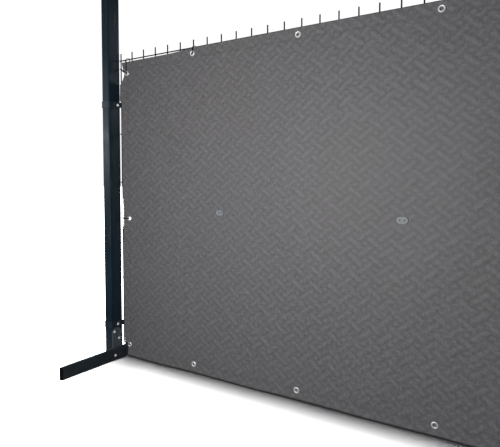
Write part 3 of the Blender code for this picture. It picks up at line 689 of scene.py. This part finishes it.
def roll_edge(shape):
    """Rounds the cloth's edge from its face to its back."""
    edges = outline_edges(shape)
    outward = {}
    for edge in edges:
        face = edge.link_faces[0]
        centre = (edge.verts[0].co + edge.verts[1].co) / 2
        along = (edge.verts[1].co - edge.verts[0].co).normalized()
        aside = along.cross(Vector((0, 1, 0)))
        if aside.dot(centre - face.calc_center_median()) < 0:
            aside = -aside
        for vert in edge.verts:
            outward[vert] = outward.get(vert, Vector()) + aside
    current = list(outward)
    straight = CLOTH_THICKNESS - 2 * EDGE_ROUNDING
    for push, depth in ((EDGE_ROUNDING, EDGE_ROUNDING), (0.0, straight), (-EDGE_ROUNDING, EDGE_ROUNDING)):
        made = bmesh.ops.extrude_edge_only(shape, edges=edges)["geom"]
        new_edges = [item for item in made if isinstance(item, bmesh.types.BMEdge)]
        new_verts = [item for item in made if isinstance(item, bmesh.types.BMVert)]
        lookup = {place_key(vert): outward[vert] for vert in current}
        current = new_verts
        for vert in new_verts:
            direction = lookup[place_key(vert)]
            outward[vert] = direction
            flat = Vector((direction.x, 0.0, direction.z))
            flat = flat.normalized() if flat.length > 1e-9 else flat
            vert.co += flat * push + Vector((0.0, depth, 0.0))
        edges = new_edges


def place_key(vert):
    """A point's place, rounded so that it finds the point that it was extruded from."""
    return tuple(round(c, 7) for c in vert.co)


def cloth_mesh(name, lines, holes, depth_of, flip):
    """Hangs the flat cloth and returns its object, with the height of the quilting stored on its points."""
    shape = cut_cloth(lines, holes)
    if flip:
        bmesh.ops.reverse_faces(shape, faces=shape.faces)
    shape.verts.ensure_lookup_table()
    flat = np.array([v.co for v in shape.verts])
    x, z = flat[:, 0], flat[:, 2]
    padding = quilting(x, z)
    hung = cloth_point(x, z, depth_of(padding * pressed_flat(x, z)))
    for vert, place in zip(shape.verts, hung):
        vert.co = place
    layer = shape.verts.layers.float.new("raised")
    for vert, value in zip(shape.verts, padding):
        vert[layer] = value
    if not flip:
        roll_edge(shape)
    for face in shape.faces:
        face.smooth = True
    mesh = bpy.data.meshes.new(name)
    shape.to_mesh(mesh)
    shape.free()
    obj = bpy.data.objects.new(name, mesh)
    bpy.context.scene.collection.objects.link(obj)
    return obj


def stitches(name):
    """Two rows of short, bowed stitches round the hem, all in one mesh."""
    points, faces = [], []
    angles = [2 * math.pi * i / STITCH_SIDES for i in range(STITCH_SIDES)]
    ring = [(math.cos(angle), math.sin(angle)) for angle in angles]
    for inset in SEAM_INSETS:
        low_x, high_x = CURTAIN_LOW.x + inset, CURTAIN_HIGH.x - inset
        low_z, high_z = CURTAIN_LOW.z + inset, CURTAIN_HIGH.z - inset
        corners = [(low_x, low_z), (high_x, low_z), (high_x, high_z), (low_x, high_z), (low_x, low_z)]
        for (x0, z0), (x1, z1) in zip(corners, corners[1:]):
            run = math.hypot(x1 - x0, z1 - z0)
            count = int(run / STITCH_PITCH)
            for i in range(count):
                start = (i + 0.5) * run / count - STITCH_LENGTH / 2
                add_stitch(points, faces, ring, (x0, z0), ((x1 - x0) / run, (z1 - z0) / run), start)
    x, lift, z = np.array(points).T
    height = quilting(x, z) * pressed_flat(x, z)
    hung = cloth_point(x, z, RELIEF * height + lift)
    clear = np.ones(len(x), bool)
    for eyelet in EYELETS:
        clear &= np.hypot(x - eyelet.x, z - eyelet.z) > STITCH_CLEARANCE
    kept = [face for face in faces if clear[list(face)].all()]
    mesh = bpy.data.meshes.new(name)
    mesh.from_pydata(hung.tolist(), [], kept)
    shape = bmesh.new()
    shape.from_mesh(mesh)
    loose = [vert for vert in shape.verts if not vert.link_faces]
    bmesh.ops.delete(shape, geom=loose, context="VERTS")
    bmesh.ops.recalc_face_normals(shape, faces=shape.faces)
    for face in shape.faces:
        face.smooth = True
    shape.to_mesh(mesh)
    shape.free()
    obj = bpy.data.objects.new(name, mesh)
    bpy.context.scene.collection.objects.link(obj)
    return obj


def add_stitch(points, faces, ring, origin, along, start):
    """One stitch, lifted in its middle and sunk into the cloth at its ends."""
    first = len(points)
    for section in range(STITCH_SECTIONS):
        share = section / (STITCH_SECTIONS - 1)
        distance = start + share * STITCH_LENGTH
        lift = STITCH_BOW * math.sin(math.pi * share) - STITCH_SINK
        for c, s in ring:
            aside = STITCH_RADIUS * c
            x = origin[0] + along[0] * distance - along[1] * aside
            z = origin[1] + along[1] * distance + along[0] * aside
            points.append((x, lift + STITCH_RADIUS * s, z))
    sides = len(ring)
    for section in range(STITCH_SECTIONS - 1):
        for i in range(sides):
            j = (i + 1) % sides
            low = first + section * sides
            faces.append((low + i, low + j, low + sides + j, low + sides + i))
    faces.append(tuple(first + i for i in reversed(range(sides))))
    faces.append(tuple(first + (STITCH_SECTIONS - 1) * sides + i for i in range(sides)))


def make_curtain(materials):
    face = cloth_mesh("curtain_face", FACE_LINES, EYELETS, lambda height: RELIEF * height, False)
    lining = cloth_mesh(
        "curtain_lining", LINING_LINES, TIED_EYELETS,
        lambda height: -CLOTH_THICKNESS - LINING_RELIEF * height, True,
    )
    seam = stitches("hem_stitches")
    for obj, material in ((face, "curtain_fabric"), (lining, "curtain_fabric"), (seam, "hem_thread")):
        obj.data.materials.append(materials[material])
        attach(obj, "panel")
    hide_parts("curtain")


# ---------------------------------------------------------------- turned pieces

def turned(name, rings, steps, closed, place, axis):
    """A turned piece. Each ring is a radius, or a function of the angle, and a height along the axis."""
    points, faces = [], []
    for radius, height in rings:
        for i in range(steps):
            angle = 2 * math.pi * i / steps
            r = radius(angle) if callable(radius) else radius
            points.append((r * math.cos(angle), r * math.sin(angle), height))
    pairs = list(zip(range(len(rings)), range(1, len(rings))))
    if closed:
        pairs.append((len(rings) - 1, 0))
    for low, high in pairs:
        for i in range(steps):
            j = (i + 1) % steps
            faces.append((low * steps + i, low * steps + j, high * steps + j, high * steps + i))
    if not closed:
        faces.append(tuple(reversed(range(steps))))
        last = (len(rings) - 1) * steps
        faces.append(tuple(range(last, last + steps)))
    mesh = bpy.data.meshes.new(name)
    mesh.from_pydata(points, [], faces)
    shape = bmesh.new()
    shape.from_mesh(mesh)
    bmesh.ops.recalc_face_normals(shape, faces=shape.faces)
    shape.to_mesh(mesh)
    shape.free()
    mesh.shade_smooth()
    mesh.set_sharp_from_angle(angle=math.radians(38))
    obj = bpy.data.objects.new(name, mesh)
    turn = Vector(axis).to_track_quat("Z", "Y").to_matrix().to_4x4()
    obj.matrix_world = Matrix.Translation(place) @ turn
    bpy.context.scene.collection.objects.link(obj)
    return obj


def hexagon(apothem):
    """The radius of a hexagon's outline at an angle."""
    def radius(angle):
        return apothem / math.cos((angle + math.pi / 6) % (math.pi / 3) - math.pi / 6)
    return radius


def make_eyelet(name, materials):
    """A pressed eyelet: a rolled front flange, a barrel through the cloth and a toothed washer behind."""
    low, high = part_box(name)
    centre = (low + high) / 2
    flange = FLANGE_SHARE * (high.x - low.x) / 2
    depth = high.y - low.y
    front, cloth, back = depth, depth - 1.9 * MM, 0.0
    washer = flange - 1.5 * MM

    def teeth(angle):
        return washer * (1 - 0.05 * (1 + math.cos(12 * angle)) / 2)

    rings = [
        (EYELET_HOLE + 0.5 * MM, back), (EYELET_HOLE + 0.1 * MM, back + 0.6 * MM),
        (EYELET_HOLE, back + 1.6 * MM),
        (EYELET_HOLE, front - 1.7 * MM), (EYELET_HOLE + 0.2 * MM, front - 0.7 * MM),
        (EYELET_HOLE + 0.8 * MM, front - 0.1 * MM), (EYELET_HOLE + 1.7 * MM, front + 0.25 * MM),
        (EYELET_HOLE + 2.8 * MM, front + 0.25 * MM), (flange - 2.0 * MM, front - 0.1 * MM),
        (flange - 0.9 * MM, front - 0.6 * MM), (flange - 0.2 * MM, front - 1.2 * MM),
        (flange, front - 1.6 * MM),
        (flange - 0.3 * MM, cloth + 0.1 * MM), (flange - 1.2 * MM, cloth + 0.05 * MM),
        (EYELET_HOLE + 1.2 * MM, cloth), (EYELET_HOLE + 1.2 * MM, back + 1.5 * MM),
        (teeth, back + 1.3 * MM), (teeth, back + 0.7 * MM), (washer - 1.6 * MM, back + 0.2 * MM),
        (EYELET_HOLE + 1.9 * MM, back + 0.3 * MM), (EYELET_HOLE + 1.2 * MM, back + 0.05 * MM),
    ]
    place = (centre.x, high.y, centre.z)
    obj = turned(f"{name}_pressed", rings, EYELET_STEPS, True, place, (0, -1, 0))
    finish_replacement(obj, name, "eyelet_metal", materials)


def make_bolt(name, materials):
    """A button-head socket screw with a washer."""
    low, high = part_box(name)
    centre = (low + high) / 2
    inward = -1.0 if centre.x > 0 else 1.0
    seat_x = (low.x + BOLT_HEAD_HEIGHT) if inward < 0 else (high.x - BOLT_HEAD_HEIGHT)
    length = high.x - low.x - BOLT_HEAD_HEIGHT
    top = BOLT_HEAD_HEIGHT
    rings = [
        (BOLT_RADIUS - 0.6 * MM, -length), (BOLT_RADIUS, -length + 0.6 * MM), (BOLT_RADIUS, 0.0),
        (BOLT_HEAD_RADIUS - 0.2 * MM, 0.0), (BOLT_HEAD_RADIUS, 0.15 * MM), (BOLT_HEAD_RADIUS, 0.75 * MM),
        (BOLT_HEAD_RADIUS - 0.2 * MM, 0.9 * MM), (0.88 * BOLT_HEAD_RADIUS, 0.95 * MM),
        (0.87 * BOLT_HEAD_RADIUS, 1.5 * MM), (0.8 * BOLT_HEAD_RADIUS, 2.3 * MM),
        (0.68 * BOLT_HEAD_RADIUS, 3.0 * MM),
        (0.54 * BOLT_HEAD_RADIUS, 3.4 * MM), (0.42 * BOLT_HEAD_RADIUS, top), (0.39 * BOLT_HEAD_RADIUS, top),
        (hexagon(SOCKET_APOTHEM), top - 0.15 * MM), (hexagon(SOCKET_APOTHEM), top - 1.9 * MM),
        (0.2 * MM, top - 2.1 * MM),
    ]
    place = (seat_x, centre.y, centre.z)
    obj = turned(f"{name}_button_head", rings, BOLT_STEPS, False, place, (inward, 0, 0))
    finish_replacement(obj, name, "bolt_steel", materials)


def finish_replacement(obj, node, slot, materials):
    obj.data.materials.append(materials[slot])
    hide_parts(node)
    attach(obj, NODES[node]["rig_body"])


# ---------------------------------------------------------------- CAD nodes that stay

def soften(node, width):
    """Rounds a CAD node's edges with modifiers, which leave its own mesh as it is."""
    weld = node.modifiers.new("weld", "WELD")
    weld.merge_threshold = 0.00001
    bevel = node.modifiers.new("edge_round", "BEVEL")
    bevel.width = width
    bevel.segments = 2
    bevel.limit_method = "ANGLE"
    bevel.angle_limit = SOFTEN_ABOVE
    bevel.harden_normals = False


def finish_cad_nodes(materials):
    for node in NODES.values():
        slot = node.data.materials[0].name.split(".")[0]
        node.data.materials[0] = materials[slot]
        if node.hide_render:
            continue
        if slot in ("plate_plastic", "tie_plastic"):
            soften(node, SMALL_EDGE)
        elif slot in ("black_plastic", "bracket_paint", "clamp_paint"):
            soften(node, STEEL_EDGE)


def main():
    add_camera()
    add_world()
    floor = add_floor()
    materials = make_materials()
    make_curtain(materials)
    for name in EYELET_NAMES:
        make_eyelet(name, materials)
    for name in BOLT_NAMES:
        make_bolt(name, materials)
    finish_cad_nodes(materials)
    on_floor = receivers("reached_floor", [floor])
    on_screen = receivers("reached_screen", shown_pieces())
    cloth = [bpy.data.objects[name] for name in ("curtain_face", "curtain_lining", "hem_stitches")]
    on_cloth = receivers("reached_cloth", cloth)
    on_hard_pieces = receivers("reached_hard_pieces", [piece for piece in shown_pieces() if piece not in cloth])
    add_floor_sun(on_floor)
    add_area_light(
        "key_softbox", place=(-0.62, -1.42, 0.80), target=(-0.6, 0.0, 0.78), size=(0.5, 0.5), power=19.2,
        colour=(1.0, 1.0, 0.99), reached=on_screen,
    )
    add_area_light(
        "side_strip", place=(-3.7, -2.1, 1.2), target=(-1.0, 0.0, 0.75), size=(0.5, 0.5), power=14.0,
        colour=(0.92, 0.98, 1.0), reached=on_hard_pieces,
    )
    add_area_light(
        "right_fill", place=(1.1, -1.7, 0.1), target=(0.1, 0.0, 0.4), size=(0.8, 0.6), power=6.0,
        colour=(1.0, 0.98, 0.98), reached=on_cloth,
    )
    add_area_light(
        "rear_fill", place=(-0.6, 3.2, 1.6), target=(0.0, 0.0, 0.7), size=(1.6, 1.4), power=85.0,
        colour=(0.97, 0.98, 1.0), reached=on_screen,
    )


main()
bpy.context.scene.view_settings.view_transform = "Standard"
